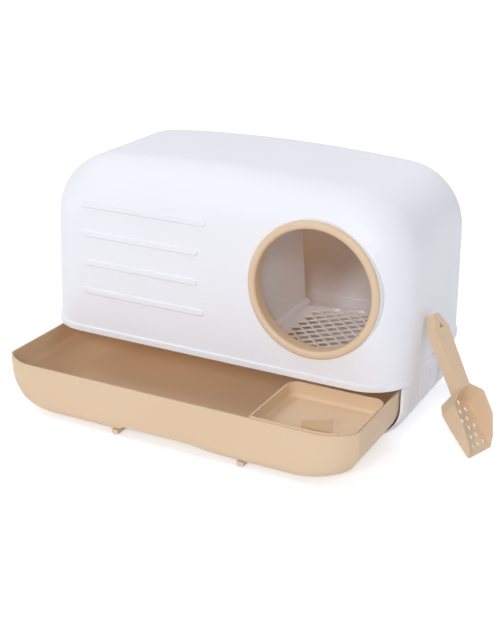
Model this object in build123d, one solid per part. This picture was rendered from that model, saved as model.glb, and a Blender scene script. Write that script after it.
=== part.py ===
from build123d import *
import math
import os

# Drawer litter box.  Millimetres, +Z up.
# The origin is the middle of the base's flat underside; the entry is on the front, at -Y.

# ---------------------------------------------------------------- driving sizes
box_width = 600.0          # across the hood at its lower edge
box_depth = 322.0          # front to back at the hood's lower edge
rim_height = 90.0          # underside of the base to the hood's lower edge
plan_corner = 68.0         # radius of the upright corners seen from above

# hood
hood_side_height = 266.0   # lower edge to the top, at the sides
hood_crown = 17.5          # how much the top rises at its middle
hood_shoulder = 100.0      # front-view radius of the two top corners
hood_wall = 3.0
hood_front_draft = 1.9     # degrees, front and back walls
hood_side_draft = 0.45     # degrees, side walls
bead_height = 10.0         # bead along the lower edge
bead_proud = 2.2
bead_round = 2.0           # radius of the bead's upper edge

# ribs on the hood's front
rib_count = 4
rib_pitch = 46.0
rib_first = 69.5           # lowest rib above the hood's lower edge
rib_height = 10.0
rib_proud = 2.0
rib_left = 226.0           # left ends, from the middle of the box
rib_clear_radius = 188.0   # right ends lie on a circle round the entry

# entry
entry_x = 165.7
entry_z = 137.0            # centre above the hood's lower edge
entry_outer = 101.5        # outer radius of the ring
entry_inner = 89.5         # clear radius for the cat
ring_proud = 7.0
ring_round = 4.8
ring_sleeve = 3.0          # wall of the sleeve through the hood
ring_depth = 15.0          # sleeve length behind the hood's front face
boss_margin = 1.5          # white seat round the ring
boss_depth = 24.0
clip_angles = (150, 185, 220, 255, 290)
clip_width = 14.0
clip_proud = 2.2
clip_height = 4.0

# base
base_wall = 3.5
base_side_radius = 52.0    # lower corner seen from the front
base_edge_radius = 17.0    # lower corner seen from the side
base_draft = 3.0           # inset of the wall over its whole height
foot_height = 4.0          # pads under the base
foot_radius = 12.0
foot_well = 1.0            # depth of the wells that the pads are set in
foot_well_gap = 1.0        # round each pad
foot_x = 205.0
foot_y = 92.0
upstand_height = 8.0       # part of the base that stands up inside the hood
upstand_wall = 2.5
upstand_root = 8.0         # how far it reaches down inside the base's wall
flute_count = 4
flute_pitch = 44.0
flute_width = 25.0
flute_depth = 1.4
wall_front = 115.0         # front edge of the base's walls, before the middle of the box
floor_front = 128.0        # front edge of the base's floor
frame_thickness = 3.0

# drawer
pull_out = 135.0           # how far the drawer stands open
drawer_wall = 3.0
drawer_half = 288.5        # outside of the side walls, from the middle
drawer_side_radius = 50.0
drawer_back = 152.0        # outside of the back wall, behind the middle of the box
drawer_back_corner = 40.0
side_rim_drop = 9.5        # side walls' rim below the hood's lower edge
front_rim_drop = 5.0       # drawer front's rim below the hood's lower edge
recess_left = 85.0         # finger recess in the lower edge of the front
recess_right = 118.0
recess_height = 12.0
recess_depth = 23.0        # behind the drawer's front face
recess_left_run = 14.0     # sideways run of the left end's slope
recess_right_run = 77.0    # and of the long right end's
recess_round = 10.0
drawer_foot_width = 11.0
drawer_foot_lap = 3.0      # how far each foot reaches past the end of the recess
drawer_foot_drop = 5.5
drawer_foot_round = 2.5
drawer_foot_back = 130.3   # rear face of the feet, before the middle of the box
carrier_wall = 2.5         # low wall in the drawer that carries the tray
carrier_inset = 4.0        # from the tray's outline to that wall

# tray in the drawer
tray_left = 136.0          # left wall, from the middle
tray_rim_drop = 7.0        # tray's rim below the hood's lower edge
tray_depth = 26.0
tray_wall = 2.2
tray_length = 137.0
tray_corner = 18.0         # the two rear corners
tray_front_corner = 3.0
tray_edge = 6.0            # inside radius between floor and walls
tab_width = 41.0
tab_height = 24.0
tab_thickness = 5.0
tab_x = 220.5
tab_y = 255.0              # before the middle of the box, with the drawer standing open
tab_turn = 28.0            # degrees from above
tab_round = 3.0

# step behind the entry
step_height = 33.0         # top of the lattice above the hood's lower edge
lattice_thickness = 2.4
lattice_pitch = 24.5
lattice_bar = 2.8
lattice_left = 74.0
lattice_rear_left = 34.0   # y of the rear edge at its left end
lattice_rear_slope = 0.33
frame_bar = 7.0
rail_width = 15.0
rail_height = 12.4
rail_rear = 44.0
rail_round = 6.3
diamond_round = 2.6        # corner radius of the lattice's openings
shelf_depth = 12.0         # ledges inside the hood that carry the step
shelf_width = 3.0
shelf_drop = 14.0
front_shelves = (110.0, 180.0, 225.0)
side_shelves = (-80.0, -20.0, 40.0)

# partition
partition_wall = 3.0
partition_rear = 46.0
partition_lean = 10.0      # degrees, rear edge
partition_height = 190.0
partition_corner = 30.0
partition_inset = 4.2      # middle of the panel from the left side of the rail
groove_depth = 2.0

# scoop
scoop_length = 211.0
scoop_width = 71.0         # across the shoulders
scoop_tip = 52.0           # across the front edge
scoop_pan = 100.0          # front edge to the handle
scoop_shoulder = 48.0      # front edge to where the shoulders start
scoop_shoulder_end = 82.0  # and to where they end
scoop_floor = 84.0         # length of the pan's floor
scoop_floor_back = 46.0    # width of the floor at its back
scoop_floor_slope = 10.2   # degrees; the floor falls away from the rim towards its back
scoop_depth = 21.0         # height of the pan's side walls and of the handle's top
scoop_flare = 5.0          # the side walls lean out by this much
scoop_wall = 2.2
scoop_round = 10.0         # plan radius at the shoulders
handle_width = 31.0        # at its free end
handle_neck = 23.0         # and at the pan
handle_rise = 5.0          # lower edge of its end above the pan's floor
handle_chamfer = 11.0      # end corners, across
handle_chamfer_run = 23.0  # and along
handle_hole = 11.0
handle_hole_place = 19.0   # from the handle's end
slot_across = 12.0         # pitch across the pan, every second row half a pitch over
slot_along = 13.2          # and along it
slot_start = 12.0          # first row from the front edge
slot_length = 8.0
slot_width = 4.6
scoop_lean = 32.3          # degrees from upright, its top against the hood
scoop_turn = 19.5          # degrees about the upright
scoop_y = -83.5            # where its front edge stands
scoop_gap = 1.2            # between its handle and the hood, so that the hood lifts past it

# clearances
running_gap = 0.3          # between pieces that slide or lift
seat_gap = 0.2             # between pieces that are fitted together
drawer_gap = 2.5           # round the drawer in its opening
front_gap = 2.0            # between the shut drawer's front and the base's walls

half_width = box_width / 2
half_depth = box_depth / 2
floor_level = -foot_height      # the surface that the box stands on
base_floor = base_wall
drawer_bottom = base_floor + running_gap
front_rim = rim_height - front_rim_drop
side_rim = rim_height - side_rim_drop
tray_rim = rim_height - tray_rim_drop
frame_back = frame_thickness - wall_front
step_top = rim_height + step_height
step_under = step_top - lattice_thickness
frame_under = step_under - lattice_thickness
step_clear = hood_wall + seat_gap
tray_front = drawer_wall + seat_gap - half_depth
tray_back = tray_front + tray_length
open_top = rim_height + 1.0     # cutting forms end just above the base's rim
tall = 2 * (rim_height + hood_side_height)
front_lean = math.tan(math.radians(hood_front_draft))
side_lean = math.tan(math.radians(hood_side_draft))


# ---------------------------------------------------------------- shared forms
def block(x0, x1, y0, y1, z0, z1):
    """A box between two corners."""
    middle = Pos((x0 + x1) / 2, (y0 + y1) / 2, (z0 + z1) / 2)
    return middle * Box(x1 - x0, y1 - y0, z1 - z0)


def arc_inset(height, radius):
    """Inset of a quarter-round lower edge at a height above its bottom."""
    if height >= radius:
        return 0.0
    rise = radius - height
    return radius - math.sqrt(radius * radius - rise * rise)


def hull(inset, bottom, top):
    """Tub with rounded upright corners and rounded lower edges."""
    side_radius = base_side_radius - inset
    edge_radius = max(base_edge_radius - inset, 2.0)
    turns = (0, 12, 20, 28, 36, 48, 60, 75, 90)
    levels = [bottom + side_radius * (1 - math.cos(math.radians(turn))) for turn in turns]
    straight = top - levels[-1]
    levels += [levels[-1] + straight * share for share in (0.2, 0.45, 0.7, 1)]
    sections = []
    for level in levels:
        rise = level - bottom
        draft = base_draft * (rim_height - level) / rim_height
        side = inset + draft + arc_inset(rise, side_radius)
        edge = inset + draft + arc_inset(rise, edge_radius)
        radius = plan_corner - inset - draft
        outline = RectangleRounded(box_width - 2 * side, box_depth - 2 * edge, radius)
        sections.append(Pos(0, 0, level) * outline)
    return loft(sections)


def channel(inset, top):
    """Drawer body: its front view carried from the front to the rounded back corners."""
    half = drawer_half - inset
    bottom = drawer_bottom + inset
    back = drawer_back - inset
    front_view = Rectangle(2 * half, tall, align=(Align.CENTER, Align.MIN))
    lower = front_view.vertices().group_by(Axis.Y)[0]
    front_view = fillet(lower, drawer_side_radius - inset)
    start = Plane((0, back, bottom), x_dir=(1, 0, 0), z_dir=(0, -1, 0))
    bar = extrude(start * front_view, half_depth + back)
    above = RectangleRounded(2 * half, 2 * back, drawer_back_corner - inset)
    above += Pos(0, -half_depth) * Rectangle(2 * half, 2 * half_depth)
    return bar & Pos(0, 0, bottom) * extrude(above, top - bottom)


def hood_form(inset):
    """Solid of the hood: crowned, with rounded shoulders, front and back edges."""
    half = half_width - inset
    depth = half_depth - inset
    height = hood_side_height - inset
    lean = height * side_lean
    side = Line((half, 0), (half - lean, height))
    crown = ThreePointArc((half - lean, height), (0, height + hood_crown), (lean - half, height))
    other = Line((lean - half, height), (-half, 0))
    base_line = Line((-half, 0), (half, 0))
    view = make_face([side, crown, other, base_line])
    shoulders = view.vertices().group_by(Axis.Y)[-1]
    view = fillet(shoulders, hood_shoulder - inset)
    start = Plane((0, half_depth, rim_height), x_dir=(1, 0, 0), z_dir=(0, -1, 0))
    body = extrude(start * view, box_depth)
    reach = height + hood_crown + 10
    pull = reach * front_lean
    flank = Polyline((-depth, 0), (depth, 0), (depth - pull, reach), (pull - depth, reach), close=True)
    start = Plane((-box_width, 0, rim_height), x_dir=(0, 1, 0), z_dir=(1, 0, 0))
    body &= extrude(start * make_face(flank), 2 * box_width)
    front_and_back = [
        edge
        for edge in body.edges()
        if abs(edge.center().Y) > depth - pull - 1 and edge.center().Z > rim_height + 1
        and edge.bounding_box().size.Y < 2 * pull
    ]
    return fillet(front_and_back, plan_corner - inset)


def front_plane(x, height):
    """Plane on the hood's leaning front face, its normal pointing out to the front."""
    lean = math.radians(hood_front_draft)
    y = -half_depth + height * front_lean
    normal = (0, -math.cos(lean), math.sin(lean))
    return Plane((x, y, rim_height + height), x_dir=(1, 0, 0), z_dir=normal)


# ---------------------------------------------------------------- hood
def front_rib(index):
    """One raised rib with round ends on the hood's front face."""
    height = rib_first + index * rib_pitch
    rise = height - entry_z
    reach = math.sqrt(rib_clear_radius ** 2 - rise ** 2)
    right = entry_x - reach
    left = -rib_left
    middle = (left + right) / 2
    outline = SlotOverall(right - left, rib_height)
    slab = extrude(outline, rib_proud + hood_wall / 2)
    slab = chamfer(slab.faces().sort_by(Axis.Z)[-1].edges(), rib_proud * 0.6)
    return front_plane(middle, height) * Pos(0, 0, -hood_wall / 2) * slab


def rim_bead():
    """Bead round the hood's lower edge."""
    outer = RectangleRounded(
        box_width + 2 * bead_proud, box_depth + 2 * bead_proud, plan_corner + bead_proud
    )
    inner = RectangleRounded(
        box_width - 2 * hood_wall, box_depth - 2 * hood_wall, plan_corner - hood_wall
    )
    bead = Pos(0, 0, rim_height) * extrude(outer, bead_height)
    bead = fillet(bead.faces().sort_by(Axis.Z)[-1].edges(), bead_round)
    return bead - Pos(0, 0, rim_height - 1) * extrude(inner, bead_height + 2)


def shelf_ribs():
    """Ledges inside the hood that carry the step at its front and right side."""
    top = frame_under - running_gap
    ribs = []
    wall = -half_depth + hood_wall / 2
    for x in front_shelves:
        ribs.append(block(x, x + shelf_width, wall, wall + shelf_depth, top - shelf_drop, top))
    side = half_width - hood_wall / 2
    for y in side_shelves:
        ribs.append(block(side - shelf_depth, side, y, y + shelf_width, top - shelf_drop, top))
    return ribs


def make_hood_shell():
    """White cover with its entry hole, front ribs, bead and shelf ribs."""
    shell = hood_form(0)
    cavity = hood_form(hood_wall)
    shell -= cavity
    shell += rim_bead()
    for index in range(rib_count):
        shell += front_rib(index)
    for rib in shelf_ribs():
        shell += rib
    shell += entry_boss() - cavity
    sleeve = entry_inner + ring_sleeve + seat_gap
    drill = Pos(0, 0, -3 * hood_wall) * Cylinder(sleeve, 12 * hood_wall)
    shell -= front_plane(entry_x, entry_z) * drill
    return shell


def entry_boss():
    """Flat round seat for the ring where the hood's corner falls away behind it."""
    seat = Pos(0, 0, -boss_depth) * extrude(Circle(entry_outer + boss_margin), boss_depth)
    return front_plane(entry_x, entry_z) * seat


def make_entry_ring():
    """Beige ring: a round bead outside, a sleeve through the wall and snap clips behind it."""
    sleeve = entry_inner + ring_sleeve
    profile = Rectangle(entry_outer - entry_inner, ring_proud, align=(Align.MIN, Align.MIN))
    profile = fillet(profile.vertices().group_by(Axis.Y)[-1], ring_round)
    profile = Pos(entry_inner, seat_gap) * profile
    profile += Pos(entry_inner, -ring_depth) * Rectangle(
        sleeve - entry_inner, ring_depth + 1, align=(Align.MIN, Align.MIN)
    )
    ring = revolve(Plane.XZ * profile, Axis.Z)
    catch_top = -hood_wall - seat_gap
    catch = block(
        sleeve - 0.5, sleeve + clip_proud, -clip_width / 2, clip_width / 2,
        catch_top - clip_height, catch_top,
    )
    for angle in clip_angles:
        ring += Rot(0, 0, angle) * catch
    return front_plane(entry_x, entry_z) * ring


# ---------------------------------------------------------------- step and partition
def deck_outline(inset):
    """Outline of the step seen from above, inside the hood."""
    wall = half_width - step_clear - inset - step_height * side_lean
    front = -half_depth + step_clear + inset + step_height * front_lean
    left = lattice_left + inset
    rear_left = lattice_rear_left - inset
    rear_right = rear_left + (wall - left) * lattice_rear_slope
    outline = make_face(
        Polyline((left, front), (wall, front), (wall, rear_right), (left, rear_left), close=True)
    )
    inside_hood = RectangleRounded(2 * wall, -2 * front, plan_corner - inset)
    return outline & inside_hood


def lattice_holes():
    """Staggered rounded diamonds that leave a lattice of thin bars."""
    side = lattice_pitch / math.sqrt(2) - lattice_bar
    diamond = fillet(Rectangle(side, side).vertices(), diamond_round)
    diamond = Rot(0, 0, 45) * diamond
    inside = deck_outline(frame_bar / 2)
    half = lattice_pitch / 2
    reach = half - lattice_bar
    holes = []
    rows = int(box_depth / half) + 1
    columns = int(half_width / lattice_pitch) + 1
    for row in range(rows):
        y = -half_depth + row * half
        shift = half * (row % 2)
        for column in range(columns):
            x = lattice_left + shift + column * lattice_pitch
            corners = [(x - reach, y), (x + reach, y), (x, y - reach), (x, y + reach)]
            if all(inside.is_inside(corner) for corner in corners):
                holes.append(Pos(x, y) * diamond)
    return holes


def make_step_grid():
    """White lattice floor behind the entry."""
    panel = deck_outline(0)
    panel -= lattice_holes()
    return Pos(0, 0, step_under) * extrude(panel, lattice_thickness)


def make_step_frame():
    """Frame under the lattice with the rounded rail along its left side."""
    rim = deck_outline(0) - deck_outline(frame_bar)
    frame = Pos(0, 0, frame_under) * extrude(rim, lattice_thickness)
    front = -half_depth + step_clear + (step_height + rail_height) * front_lean
    right = lattice_left - seat_gap
    left = right - rail_width
    rail = block(left, right, front, rail_rear, frame_under, frame_under + rail_height)
    crown = rail.edges().filter_by(Axis.Y).group_by(Axis.Z)[-1]
    rail = fillet(crown, rail_round)
    tip = extrude(Circle(rail_width / 2), rail_height)
    tip = fillet(tip.faces().sort_by(Axis.Z)[-1].edges(), rail_round)
    rail += Pos((left + right) / 2, rail_rear, frame_under) * tip
    bridge = block(right - 1, lattice_left + 1, front, lattice_rear_left - 1, frame_under, step_under)
    frame = frame + rail + bridge
    return frame - partition_slab(seat_gap)


def partition_slab(grow):
    """Upright panel with a leaning rear edge; its foot stands in the rail's groove."""
    lean = math.tan(math.radians(partition_lean))
    foot = frame_under + rail_height - groove_depth
    low = foot - rim_height
    high = low + partition_height
    front = -half_depth + hood_wall + running_gap - grow
    rear = partition_rear + grow
    corners = [
        (front + low * front_lean, 0), (rear, 0),
        (rear - partition_height * lean, partition_height),
        (front + high * front_lean, partition_height),
    ]
    outline = make_face(Polyline(*corners, close=True))
    rear_top = outline.vertices().group_by(Axis.Y)[-1].sort_by(Axis.X)[-1]
    outline = fillet(rear_top, partition_corner)
    thick = partition_wall + 2 * grow
    middle = lattice_left - seat_gap - rail_width + partition_inset
    start = Plane((middle - thick / 2, 0, foot - grow), x_dir=(0, 1, 0), z_dir=(1, 0, 0))
    return extrude(start * outline, thick)


def make_partition_panel():
    """White partition between the entry and the litter side."""
    return partition_slab(0) & hood_form(hood_wall + running_gap)


# ---------------------------------------------------------------- base
def make_base_tub():
    """White lower shell, open at the front for the drawer, with fluted side walls."""
    sides = half_width + 1
    ends = half_depth + 1
    tub = hull(0, 0, rim_height - running_gap)
    tub -= flutes()
    tub -= hull(base_wall, base_floor, open_top) & block(-sides, sides, frame_back, ends, 0, tall)
    tub -= block(-sides, sides, -ends, -wall_front, base_floor, tall)
    tub -= block(-sides, sides, -ends, -floor_front, floor_level, tall)
    passage = channel(-drawer_gap, open_top)
    tub -= passage & block(-sides, sides, -ends, frame_back + 1, base_floor, tall)
    for x, y in foot_places():
        tub -= Pos(x, y, floor_level) * extrude(Circle(foot_radius + foot_well_gap), foot_height + foot_well)
    return tub + upstand()


def flutes():
    """Cutting form of the shallow upright flutes in both side walls."""
    first = -(flute_count - 1) * flute_pitch / 2
    bands = []
    for index in range(flute_count):
        front = first + index * flute_pitch - flute_width / 2
        bands.append(
            block(-half_width - 1, half_width + 1, front, front + flute_width,
                  flute_depth, rim_height - bead_height)
        )
    return Compound(children=bands) - hull(flute_depth, flute_depth, open_top)


def upstand():
    """Part of the base's rim that stands up inside the hood, behind the drawer opening."""
    outside = hood_wall + running_gap
    inside = outside + upstand_wall
    outer = RectangleRounded(box_width - 2 * outside, box_depth - 2 * outside, plan_corner - outside)
    inner = RectangleRounded(box_width - 2 * inside, box_depth - 2 * inside, plan_corner - inside)
    root = Pos(0, 0, rim_height - upstand_root)
    wall = root * extrude(outer - inner, upstand_root + upstand_height)
    return wall & block(-half_width, half_width, frame_back, half_depth, 0, tall)


def foot_places():
    """Middles of the four pads, seen from above."""
    return [(x, y) for x in (-foot_x, foot_x) for y in (-foot_y, foot_y)]


def make_base_feet():
    """Four round pads set in wells in the base's underside."""
    pads = [
        Pos(x, y, floor_level) * extrude(Circle(foot_radius), foot_height + foot_well)
        for x, y in foot_places()
    ]
    return Compound(children=pads)


# ---------------------------------------------------------------- drawer
def drawer_front():
    """Curved front that carries on the base's outline round both corners."""
    solid = hull(0, drawer_bottom, front_rim)
    cavity = hull(drawer_wall, drawer_bottom + drawer_wall, open_top)
    end = -wall_front - front_gap
    skin = (solid - cavity) & block(-half_width, half_width, -half_depth, end, 0, tall)
    for side in (-1, 1):
        inner = side * (drawer_half - drawer_wall)
        outer = side * half_width
        web = block(min(inner, outer), max(inner, outer), end - drawer_wall, end, 0, tall)
        skin += solid & web
    return skin


def finger_recess(grow):
    """Scooped recess in the lower edge of the drawer front, grown by a wall's thickness."""
    left = -recess_left - grow
    right = recess_right + grow
    bottom = drawer_bottom - 1
    top = drawer_bottom + recess_height + grow
    view = make_face(
        Polyline((left, bottom), (left + recess_left_run, top), (right - recess_right_run, top),
                 (right, bottom), close=True)
    )
    view = fillet(view.vertices().group_by(Axis.Y)[-1], recess_round)
    depth = recess_depth + grow
    start = Plane((0, depth - half_depth, 0), x_dir=(1, 0, 0), z_dir=(0, -1, 0))
    return extrude(start * view, depth + 1)


def drawer_feet():
    """Two small feet under the drawer's front edge, one at each end of the recess."""
    feet = []
    front = base_edge_radius / 2 - half_depth
    low = drawer_bottom - drawer_foot_drop
    for x in (drawer_foot_lap - recess_left - drawer_foot_width, recess_right - drawer_foot_lap):
        foot = block(x, x + drawer_foot_width, front, -drawer_foot_back, low,
                     drawer_bottom + drawer_wall / 2)
        feet.append(fillet(foot.edges().filter_by(Axis.Y).group_by(Axis.Z)[0], drawer_foot_round))
    return feet


def tray_carrier():
    """Low wall moulded in the drawer under the tray's left and back sides."""
    x0 = tray_left + carrier_inset
    y0 = tray_back - carrier_inset - carrier_wall
    top = tray_rim - tray_depth - seat_gap
    bottom = drawer_bottom + drawer_wall / 2
    right = drawer_half - drawer_wall / 2
    return [
        block(x0, x0 + carrier_wall, -half_depth, y0 + carrier_wall, bottom, top),
        block(x0, right, y0, y0 + carrier_wall, bottom, top),
    ]


def outside_base(inset):
    """What of the drawer's back half would not fit the rounded inside of the base."""
    rear = block(-half_width, half_width, 0, half_depth, 0, tall)
    return rear - hull(base_wall + drawer_gap + inset, drawer_bottom + inset, open_top)


def make_drawer_pan():
    """Beige drawer with its front, recess and feet moulded in one."""
    body = channel(0, side_rim) & hull(0, drawer_bottom, open_top)
    body -= outside_base(0)
    hollow = channel(drawer_wall, tall) & hull(drawer_wall, drawer_bottom + drawer_wall, open_top)
    hollow -= outside_base(drawer_wall)
    for wall in tray_carrier():
        hollow -= wall
    hollow -= finger_recess(drawer_wall)
    pan = body - hollow
    pan += drawer_front()
    pan -= finger_recess(0)
    for foot in drawer_feet():
        pan += foot
    return Pos(0, -pull_out, 0) * pan


# ---------------------------------------------------------------- tray
def tray_form(inset, bottom, top):
    """Solid of the tray; its front right corner follows the inside of the drawer's front."""
    left = tray_left + inset
    right = drawer_half - drawer_wall - seat_gap - inset
    front = tray_front + inset
    back = tray_back - inset
    outline = Pos((left + right) / 2, (front + back) / 2) * Rectangle(right - left, back - front)
    corners = outline.vertices().group_by(Axis.Y)
    outline = fillet(corners[-1], tray_corner - inset)
    near = outline.vertices().sort_by(Axis.X)[0:2].sort_by(Axis.Y)[0]
    outline = fillet(near, tray_front_corner - inset)
    form = Pos(0, 0, bottom) * extrude(outline, top - bottom)
    return form & hull(drawer_wall + seat_gap + inset, drawer_bottom + drawer_wall, open_top)


def make_sift_tray():
    """Beige lift-out tray with a finger tab near its front."""
    bottom = tray_rim - tray_depth
    tray = tray_form(0, bottom, tray_rim)
    room = tray_form(tray_wall, bottom + tray_wall, tall)
    tray -= fillet(room.faces().sort_by(Axis.Z)[0].edges(), tray_edge)
    tab = Box(tab_width, tab_thickness, tab_height, align=(Align.CENTER, Align.CENTER, Align.MIN))
    upright = tab.edges().filter_by(Axis.Y)
    tab = fillet(upright.group_by(Axis.Z)[-1], tab_round)
    place = Pos(tab_x, pull_out - tab_y, bottom + tray_wall / 2) * Rot(0, 0, tab_turn)
    tray += place * tab
    return Pos(0, -pull_out, 0) * tray


# ---------------------------------------------------------------- scoop
def mirrored_face(side):
    """Flat face with the given right-hand points and their mirror images."""
    return make_face(Polyline(*side, *[(-x, y) for x, y in reversed(side)], close=True))


def pan_rim(inset):
    """Rim of the scoop's pan seen flat: front edge, wide shoulders and narrow neck."""
    shoulder = scoop_width / 2 - inset
    side = [(scoop_tip / 2 - inset, 0), (shoulder, scoop_shoulder), (shoulder, scoop_shoulder_end),
            (handle_neck / 2 - inset, scoop_pan - inset)]
    rim = mirrored_face(side)
    shoulders = rim.vertices().group_by(Axis.Y)[1:3]
    return fillet(shoulders[0] + shoulders[1], scoop_round - inset)


def pan_floor(inset):
    """Floor of the scoop's pan, nearly as wide as its rim."""
    shoulder = scoop_width / 2 - scoop_flare - inset
    side = [(scoop_tip / 2 - inset, 0), (shoulder, scoop_shoulder), (shoulder, scoop_floor * 0.85),
            (scoop_floor_back / 2 - inset, scoop_floor - inset)]
    floor = mirrored_face(side)
    shoulders = floor.vertices().group_by(Axis.Y)[1:3]
    return fillet(shoulders[0] + shoulders[1], scoop_round / 2 - inset)


def scoop_slots():
    """Staggered rows of slots that fit the pan's floor."""
    inside = pan_floor(scoop_wall + slot_width * 0.6)
    slot = Rot(0, 0, 90) * SlotOverall(slot_length, slot_width)
    slots = []
    for row in range(int(scoop_floor / slot_along)):
        count = 4 - row % 2
        for column in range(count):
            place = ((column - (count - 1) / 2) * slot_across, slot_start + row * slot_along)
            if inside.is_inside(place):
                slots.append(Pos(*place) * slot)
    return slots


def across(points):
    """Side view of the scoop carried across its whole width."""
    start = Plane((-scoop_width, 0, 0), x_dir=(0, 1, 0), z_dir=(1, 0, 0))
    return extrude(start * make_face(Polyline(*points, close=True)), 2 * scoop_width)


def handle_form(inset, low):
    """Handle as a solid: its top view between its lower edge and its top."""
    half = handle_width / 2 - inset
    side = [(handle_neck / 2 - inset, scoop_floor), (half, scoop_length - handle_chamfer_run),
            (half - handle_chamfer, scoop_length - inset)]
    body = extrude(mirrored_face(side), scoop_depth - inset)
    return body & across([(scoop_floor, low), (scoop_length, low + handle_rise),
                          (scoop_length, scoop_depth), (scoop_floor, scoop_depth)])


def scoop_form():
    """Deep slotted pan, open at its front edge, with a channel handle that is open below."""
    tilt = Rot(-scoop_floor_slope, 0, 0)
    outer = loft([tilt * pan_floor(0), Pos(0, 0, scoop_depth) * pan_rim(0)], ruled=True)
    room_floor = tilt * Pos(0, 0, scoop_wall) * pan_floor(scoop_wall)
    room_rim = Pos(0, 0, scoop_depth + scoop_wall) * pan_rim(scoop_wall * 0.6)
    handle = handle_form(0, 0) - handle_form(scoop_wall, -2 * handle_rise)
    hole = Rot(0, 0, 90) * RegularPolygon(handle_hole / 2, 3)
    handle -= Pos(0, scoop_length - handle_hole_place, 0) * extrude(hole, tall)
    scoop = outer + handle - loft([room_floor, room_rim], ruled=True)
    bend = (scoop_shoulder * 0.3, scoop_depth * 0.55)
    above = scoop_depth + 1
    scoop -= across([(-1, scoop_wall), (1, scoop_wall), bend, (scoop_shoulder, above), (-1, above)])
    return scoop - [tilt * Pos(0, 0, -1) * extrude(slot, 2 * scoop_wall) for slot in scoop_slots()]


def make_scoop():
    """Beige scoop that stands on its front edge and leans on the hood's right side."""
    lean = math.radians(scoop_lean)
    turn = math.radians(scoop_turn)
    along = Vector(math.sin(turn), math.cos(turn), 0)
    normal = Vector(math.cos(turn) * math.cos(lean), -math.sin(turn) * math.cos(lean), math.sin(lean))
    reach = scoop_length * math.sin(lean) * math.cos(turn)
    reach += (handle_width / 2 - handle_chamfer) * math.sin(turn) - handle_rise * normal.X
    touch = floor_level + scoop_length * math.cos(lean) - rim_height
    wall = half_width - touch * side_lean
    foot = Vector(wall + scoop_gap + reach, scoop_y, floor_level)
    return Plane(foot, x_dir=along, z_dir=normal) * scoop_form()


node_makers = {
    "hood_shell": make_hood_shell,
    "entry_ring": make_entry_ring,
    "step_grid": make_step_grid,
    "step_frame": make_step_frame,
    "partition_panel": make_partition_panel,
    "base_tub": make_base_tub,
    "base_feet": make_base_feet,
    "drawer_pan": make_drawer_pan,
    "sift_tray": make_sift_tray,
    "scoop": make_scoop,
}

os.makedirs("parts", exist_ok=True)
for name, maker in node_makers.items():
    export_step(maker(), f"parts/{name}.step")
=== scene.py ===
"""Looks of the drawer litter box: hood, base, drawer with tray, and scoop, in metres."""

import logging
import math
from dataclasses import dataclass, field
from enum import Enum
from typing import ClassVar

import bpy
from mathutils import Euler, Matrix, Vector


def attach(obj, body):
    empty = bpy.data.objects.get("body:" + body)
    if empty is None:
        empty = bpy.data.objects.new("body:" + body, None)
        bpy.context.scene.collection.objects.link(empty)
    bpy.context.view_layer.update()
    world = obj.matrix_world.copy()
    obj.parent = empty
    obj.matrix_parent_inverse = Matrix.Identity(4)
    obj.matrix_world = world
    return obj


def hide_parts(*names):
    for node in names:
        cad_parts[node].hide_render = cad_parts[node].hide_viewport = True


logging.basicConfig(level=logging.INFO, format="%(message)s")
log = logging.getLogger("litter_box")

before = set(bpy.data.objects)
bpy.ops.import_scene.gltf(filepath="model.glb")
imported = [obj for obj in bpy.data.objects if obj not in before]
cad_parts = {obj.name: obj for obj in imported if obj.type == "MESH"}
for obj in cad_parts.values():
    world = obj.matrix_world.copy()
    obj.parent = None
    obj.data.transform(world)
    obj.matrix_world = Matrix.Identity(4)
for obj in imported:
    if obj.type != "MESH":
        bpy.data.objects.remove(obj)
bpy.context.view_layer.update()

MM = 0.001
MERGE_DISTANCE = 0.00001   # doubled points of the CAD triangles lie closer than this
SMOOTH_ANGLE = 30.0        # degrees; edges flatter than this are shaded smooth
IMAGE_LONG_SIDE = 642.0    # pixels
SENSOR_WIDTH = 36.0        # millimetres

# places of the colour sockets on Blender's mix node
MIX_FIRST = 6
MIX_SECOND = 7
MIX_RESULT = 2

Owner = bpy.types.Material | bpy.types.World


class Body(Enum):
    """Names of the moving bodies that pieces ride on."""

    BASE = "base"
    HOOD = "hood"
    DRAWER = "drawer"
    SCOOP = "scoop"


class Slot(Enum):
    """Material slots of the part's record."""

    WHITE = "white_plastic"
    BEIGE = "beige_plastic"
    PAD = "foot_pad"


# ---------------------------------------------------------------- shader helpers
def linear_colour(code: str) -> tuple[float, float, float, float]:
    """Turn an sRGB hex code into linear RGBA.

    Args:
        code: six hex digits.

    Returns:
        Linear red, green, blue and an alpha of one.
    """
    channels = [int(code[place:place + 2], 16) / 255 for place in (0, 2, 4)]
    linear = [c / 12.92 if c <= 0.04045 else ((c + 0.055) / 1.055) ** 2.4 for c in channels]
    return (*linear, 1.0)


def add_node(
    owner: Owner,
    kind: str,
    settings: dict[str, object] | None = None,
    inputs: dict[str | int, object] | None = None,
) -> bpy.types.Node:
    """Add one shader node.

    Args:
        owner: material or world that the node belongs to.
        kind: Blender's type name of the node.
        settings: attributes of the node.
        inputs: input sockets, each a value or the output socket that feeds it.

    Returns:
        The new node.
    """
    tree = owner.node_tree
    node = tree.nodes.new(kind)
    for name, value in (settings or {}).items():
        setattr(node, name, value)
    for name, value in (inputs or {}).items():
        if isinstance(value, bpy.types.NodeSocket):
            tree.links.new(value, node.inputs[name])
        else:
            node.inputs[name].default_value = value
    return node


def empty_material(name: str) -> bpy.types.Material:
    """Make a node material with nothing in it.

    Args:
        name: the material's name.

    Returns:
        The material.
    """
    material = bpy.data.materials.new(name)
    material.use_nodes = True
    material.node_tree.nodes.clear()
    return material


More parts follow.
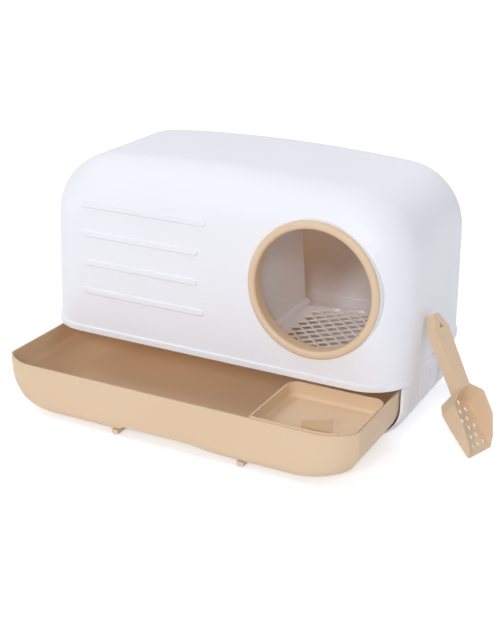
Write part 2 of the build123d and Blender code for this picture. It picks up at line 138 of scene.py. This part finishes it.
def object_place(material: bpy.types.Material) -> bpy.types.NodeSocket:
    """Give the place on the piece, so that a pattern moves with it.

    Args:
        material: the material that reads it.

    Returns:
        The socket of object coordinates.
    """
    return add_node(material, "ShaderNodeTexCoord").outputs["Object"]


def add_noise(
    material: bpy.types.Material, place: bpy.types.NodeSocket, size: float, detail: float
) -> bpy.types.NodeSocket:
    """Add a soft irregular pattern.

    Args:
        material: the material that it belongs to.
        place: socket of the coordinates.
        size: width of one blotch in millimetres.
        detail: how many finer layers it has.

    Returns:
        The socket of the pattern, from 0 to 1.
    """
    inputs = {"Vector": place, "Scale": 1 / (size * MM), "Detail": detail}
    return add_node(material, "ShaderNodeTexNoise", None, inputs).outputs["Fac"]


def add_tone(
    material: bpy.types.Material, share: bpy.types.NodeSocket, first: str, second: str
) -> bpy.types.NodeSocket:
    """Blend two colours.

    Args:
        material: the material that it belongs to.
        share: socket of the second colour's share.
        first: hex code of the first colour.
        second: hex code of the second colour.

    Returns:
        The socket of the blended colour.
    """
    colours = {"Factor": share, MIX_FIRST: linear_colour(first), MIX_SECOND: linear_colour(second)}
    return add_node(material, "ShaderNodeMix", {"data_type": "RGBA"}, colours).outputs[MIX_RESULT]


def end_material(material: bpy.types.Material, shader: bpy.types.Node) -> bpy.types.Material:
    """Put the shader on the surface.

    Args:
        material: the material to close.
        shader: its last shader node.

    Returns:
        The finished material.
    """
    add_node(material, "ShaderNodeOutputMaterial", None, {"Surface": shader.outputs[0]})
    return material


# ---------------------------------------------------------------- finishes
@dataclass(frozen=True)
class MouldedPlastic:
    """Injection-moulded polypropylene with a fine spark-eroded grain.

    Sizes of patterns and of the edge are in millimetres.
    """

    name: str
    colour: str
    deep_colour: str
    roughness: float = 0.5
    rough_spread: float = 0.08
    grain_size: float = 0.9
    grain_depth: float = 0.012
    grain_detail: float = 3.0
    cloud_size: float = 160.0
    cloud_detail: float = 2.0
    edge_round: float = 0.8
    edge_samples: int = 6
    refraction: float = 1.49

    def build(self) -> bpy.types.Material:
        """Make the material.

        Returns:
            The finished material.
        """
        material = empty_material(self.name)
        place = object_place(material)
        # slow clouds of tone keep the large plain faces from looking flat
        cloud = add_noise(material, place, self.cloud_size, self.cloud_detail)
        tone = add_tone(material, cloud, self.colour, self.deep_colour)
        # the fine grain breaks up the highlights into a satin sheen
        grain = add_noise(material, place, self.grain_size, self.grain_detail)
        gloss = add_node(
            material, "ShaderNodeMapRange", None,
            {"Value": grain, "To Min": self.roughness - self.rough_spread,
             "To Max": self.roughness + self.rough_spread},
        )
        # moulded edges are never sharp, so each catches a thin line of light
        soft_edge = add_node(
            material, "ShaderNodeBevel", {"samples": self.edge_samples},
            {"Radius": self.edge_round * MM},
        )
        relief = add_node(
            material, "ShaderNodeBump", None,
            {"Height": grain, "Distance": self.grain_depth * MM, "Strength": 1.0,
             "Normal": soft_edge.outputs[0]},
        )
        shader = add_node(
            material, "ShaderNodeBsdfPrincipled", None,
            {"Base Color": tone, "Roughness": gloss.outputs[0], "Normal": relief.outputs[0],
             "IOR": self.refraction},
        )
        return end_material(material, shader)


@dataclass(frozen=True)
class PadRubber:
    """Grey elastomer of the foot pads: soft, dull and slightly dusty."""

    name: str = "foot_pad_elastomer"
    colour: str = "5A5856"
    dusty_colour: str = "6E6B67"
    roughness: float = 0.8
    dust_size: float = 3.0
    dust_detail: float = 4.0

    def build(self) -> bpy.types.Material:
        """Make the material.

        Returns:
            The finished material.
        """
        material = empty_material(self.name)
        # small blotches of dust make the rubber look handled
        dust = add_noise(material, object_place(material), self.dust_size, self.dust_detail)
        tone = add_tone(material, dust, self.colour, self.dusty_colour)
        shader = add_node(
            material, "ShaderNodeBsdfPrincipled", None,
            {"Base Color": tone, "Roughness": self.roughness},
        )
        return end_material(material, shader)


@dataclass(frozen=True)
class StudioPaper:
    """White seamless paper: to the eye it is pure white and keeps the soft shadow."""

    name: str = "studio_paper"
    colour: str = "F2F2F2"
    glow: float = 0.45

    def build(self) -> bpy.types.Material:
        """Make the material.

        Returns:
            The finished material.
        """
        material = empty_material(self.name)
        # the glow is there for the eye and in reflections, and puts no light on the object
        paths = add_node(material, "ShaderNodeLightPath")
        seen = add_node(
            material, "ShaderNodeMath", {"operation": "MAXIMUM"},
            {0: paths.outputs["Is Camera Ray"], 1: paths.outputs["Is Glossy Ray"]},
        )
        seen = add_node(
            material, "ShaderNodeMath", {"operation": "MAXIMUM"},
            {0: seen.outputs[0], 1: paths.outputs["Is Transmission Ray"]},
        )
        strength = add_node(
            material, "ShaderNodeMath", {"operation": "MULTIPLY"},
            {0: seen.outputs[0], 1: self.glow},
        )
        paper = add_node(
            material, "ShaderNodeBsdfDiffuse", None, {"Color": linear_colour(self.colour)}
        )
        glow = add_node(
            material, "ShaderNodeEmission", None,
            {"Color": (1, 1, 1, 1), "Strength": strength.outputs[0]},
        )
        both = add_node(
            material, "ShaderNodeAddShader", None, {0: paper.outputs[0], 1: glow.outputs[0]}
        )
        return end_material(material, both)


# ---------------------------------------------------------------- mesh helpers
def deselect_all() -> None:
    """Leave object mode with nothing selected."""
    if bpy.context.object and bpy.context.object.mode != "OBJECT":
        bpy.ops.object.mode_set(mode="OBJECT")
    bpy.ops.object.select_all(action="DESELECT")


def smooth_copy(node: str, name: str) -> bpy.types.Object:
    """Copy a CAD node, join its loose triangles and shade it smooth by angle.

    Args:
        node: name of the CAD node.
        name: name of the new piece.

    Returns:
        The new piece, which stands for the node.
    """
    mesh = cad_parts[node].data.copy()
    mesh.name = name
    piece = bpy.data.objects.new(name, mesh)
    bpy.context.scene.collection.objects.link(piece)
    deselect_all()
    bpy.context.view_layer.objects.active = piece
    piece.select_set(True)
    bpy.ops.object.mode_set(mode="EDIT")
    bpy.ops.mesh.select_all(action="SELECT")
    bpy.ops.mesh.remove_doubles(threshold=MERGE_DISTANCE)
    bpy.ops.object.mode_set(mode="OBJECT")
    if mesh.has_custom_normals:
        bpy.ops.mesh.customdata_custom_splitnormals_clear()
    bpy.ops.object.shade_smooth_by_angle(angle=math.radians(SMOOTH_ANGLE))
    deselect_all()
    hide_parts(node)
    return piece


def dress(piece: bpy.types.Object, material: bpy.types.Material, body: Body) -> None:
    """Give a piece its only material and its body.

    Args:
        piece: the object.
        material: what it is made of.
        body: the moving body that carries it.
    """
    piece.data.materials.clear()
    piece.data.materials.append(material)
    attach(piece, body.value)


# ---------------------------------------------------------------- sub-assemblies
@dataclass
class Assembly:
    """Pieces that ride on one body."""

    pieces: list[bpy.types.Object] = field(default_factory=list, init=False)
    body: ClassVar[Body]

    def add(self, node: str, name: str, material: bpy.types.Material, slot: Slot) -> None:
        """Build and dress one piece.

        Args:
            node: the CAD node that it stands for.
            name: the piece's own name.
            material: what it is made of.
            slot: the record's slot; not used.
        """
        piece = smooth_copy(node, name)
        dress(piece, material, self.body)
        self.pieces.append(piece)

    def report(self) -> None:
        """Log each piece with its number of faces."""
        for piece in self.pieces:
            log.info("%s: %s, %d faces", self.body.value, piece.name, len(piece.data.polygons))


@dataclass
class Hood(Assembly):
    """White cover with the ring, the step and the partition."""

    white: bpy.types.Material
    beige: bpy.types.Material
    body = Body.HOOD

    def build(self) -> None:
        """Build the shell, the step on its frame, the partition and the ring."""
        for node in ("hood_shell", "step_grid", "step_frame", "partition_panel"):
            self.add(node, node + "_moulding", self.white, Slot.WHITE)
        self.add("entry_ring", "entry_ring_moulding", self.beige, Slot.BEIGE)


@dataclass
class Base(Assembly):
    """White lower tub on its pads."""

    white: bpy.types.Material
    rubber: bpy.types.Material
    body = Body.BASE

    def build(self) -> None:
        """Build the tub and its pads."""
        self.add("base_tub", "base_tub_moulding", self.white, Slot.WHITE)
        self.add("base_feet", "base_pads", self.rubber, Slot.PAD)


@dataclass
class Drawer(Assembly):
    """Beige drawer and the tray that lies in it."""

    beige: bpy.types.Material
    body = Body.DRAWER

    def build(self) -> None:
        """Build the drawer and the tray."""
        for node in ("drawer_pan", "sift_tray"):
            self.add(node, node + "_moulding", self.beige, Slot.BEIGE)


@dataclass
class Scoop(Assembly):
    """Beige slotted scoop that leans on the hood."""

    beige: bpy.types.Material
    body = Body.SCOOP

    def build(self) -> None:
        """Build the scoop."""
        self.add("scoop", "scoop_moulding", self.beige, Slot.BEIGE)


# ---------------------------------------------------------------- studio
@dataclass(frozen=True)
class Lamp:
    """One broad distant lamp.

    turn is in degrees round the box from the front, positive to the right; rise is in degrees
    above the horizon; spread is the angular width that softens its shadow.
    """

    name: str
    strength: float
    turn: float
    rise: float
    spread: float


@dataclass(frozen=True)
class Bounce:
    """Small warm fill light inside the hood.

    It is tuned to the photo, where the inside is lighter and warmer than the lamps leave it.
    power is in watts and place in metres.
    """

    name: str
    power: float
    place: tuple[float, float, float]


# strengths fitted to tones read off the photo
LAMPS = (
    Lamp("right_key_lamp", 0.78, 20.0, 30.0, 10.0),
    Lamp("front_lamp", 0.60, 0.0, 25.0, 8.0),
    Lamp("high_left_lamp", 0.68, -70.0, 60.0, 30.0),
    Lamp("back_left_lamp", 0.35, -130.0, 35.0, 40.0),
    Lamp("back_lamp", 0.30, 180.0, 30.0, 40.0),
    Lamp("back_right_lamp", 0.25, 130.0, 35.0, 40.0),
)

BOUNCES = (
    Bounce("entry_side_bounce", 0.045, (0.175, 0.0, 0.2)),
    Bounce("litter_side_bounce", 0.15, (-0.13, 0.04, 0.2)),
)


@dataclass
class Studio:
    """Floor, world, lamps and camera; the camera stands where the photo was taken from."""

    floor_level: float = -0.004
    floor_size: float = 60.0
    light_colour: tuple[float, float, float] = (0.985, 1.0, 1.07)
    world_strength: float = 0.38
    bounce_colour: tuple[float, float, float] = (1.0, 0.52, 0.26)
    bounce_radius: float = 0.05
    camera_place: tuple[float, float, float] = (0.8045, -1.6039, 0.8153)
    camera_right: tuple[float, float, float] = (0.89128, 0.45326, 0.01353)
    camera_up: tuple[float, float, float] = (-0.18104, 0.32832, 0.92706)
    focal_pixels: float = 1197.41
    shift_pixels: tuple[float, float] = (-5.98, 1.96)
    nearest_seen: float = 0.01
    farthest_seen: float = 200.0

    def build_floor(self) -> None:
        """Lay the white floor."""
        deselect_all()
        bpy.ops.mesh.primitive_plane_add(size=self.floor_size, location=(0, 0, self.floor_level))
        floor = bpy.context.object
        floor.name = "studio_floor"
        floor.data.materials.append(StudioPaper().build())

    def build_world(self) -> None:
        """Even white surroundings; the camera sees them as plain white."""
        world = bpy.data.worlds.new("studio_world")
        bpy.context.scene.world = world
        world.use_nodes = True
        world.node_tree.nodes.clear()
        paths = add_node(world, "ShaderNodeLightPath")
        light = add_node(
            world, "ShaderNodeBackground", None,
            {"Color": (*self.light_colour, 1.0), "Strength": self.world_strength},
        )
        white = add_node(
            world, "ShaderNodeBackground", None, {"Color": (1, 1, 1, 1), "Strength": 1.0}
        )
        mixed = add_node(
            world, "ShaderNodeMixShader", None,
            {0: paths.outputs["Is Camera Ray"], 1: light.outputs[0], 2: white.outputs[0]},
        )
        add_node(world, "ShaderNodeOutputWorld", None, {"Surface": mixed.outputs[0]})

    def place_light(self, light: bpy.types.Light) -> bpy.types.Object:
        """Put a light in the scene as part of the studio.

        Args:
            light: its data, whose name the object takes.

        Returns:
            The object that holds the light.
        """
        holder = bpy.data.objects.new(light.name, light)
        bpy.context.scene.collection.objects.link(holder)
        return holder

    def build_lamp(self, lamp: Lamp) -> None:
        """Add one lamp.

        Args:
            lamp: its strength, direction and width.
        """
        light = bpy.data.lights.new(lamp.name, "SUN")
        light.energy = lamp.strength
        light.color = self.light_colour
        light.angle = math.radians(lamp.spread)
        holder = self.place_light(light)
        tilt = math.radians(90 - lamp.rise)
        holder.rotation_euler = Euler((tilt, 0, math.radians(lamp.turn)))

    def build_bounce(self, bounce: Bounce) -> None:
        """Add one unseen warm fill light.

        Args:
            bounce: its power and place.
        """
        light = bpy.data.lights.new(bounce.name, "POINT")
        light.energy = bounce.power
        light.color = self.bounce_colour
        light.shadow_soft_size = self.bounce_radius
        holder = self.place_light(light)
        holder.location = bounce.place
        holder.visible_camera = False
        holder.visible_glossy = False

    def build_camera(self) -> None:
        """Place the camera at the viewing angle of the photo."""
        lens = bpy.data.cameras.new("studio_camera")
        camera = bpy.data.objects.new("studio_camera", lens)
        bpy.context.scene.collection.objects.link(camera)
        right = Vector(self.camera_right)
        up = Vector(self.camera_up)
        back = right.cross(up)
        camera.matrix_world = Matrix((
            (right.x, up.x, back.x, self.camera_place[0]),
            (right.y, up.y, back.y, self.camera_place[1]),
            (right.z, up.z, back.z, self.camera_place[2]),
            (0, 0, 0, 1),
        ))
        lens.sensor_width = SENSOR_WIDTH
        lens.lens = self.focal_pixels / IMAGE_LONG_SIDE * SENSOR_WIDTH
        lens.shift_x = self.shift_pixels[0] / IMAGE_LONG_SIDE
        lens.shift_y = self.shift_pixels[1] / IMAGE_LONG_SIDE
        lens.clip_start = self.nearest_seen
        lens.clip_end = self.farthest_seen
        bpy.context.scene.camera = camera

    def build(self) -> None:
        """Set up the whole studio."""
        self.build_floor()
        self.build_world()
        for lamp in LAMPS:
            self.build_lamp(lamp)
        for bounce in BOUNCES:
            self.build_bounce(bounce)
        self.build_camera()
        bpy.context.scene.view_settings.view_transform = "Standard"


def main() -> None:
    """Build the object and the studio."""
    white = MouldedPlastic("white_moulded_polypropylene", "F4F4F4", "EFEFF0").build()
    beige = MouldedPlastic("beige_moulded_polypropylene", "E5CAA8", "DFC29F").build()
    rubber = PadRubber().build()
    for assembly in (Hood(white, beige), Base(white, rubber), Drawer(beige), Scoop(beige)):
        assembly.build()
        assembly.report()
    Studio().build()


if __name__ == "__main__":
    main()
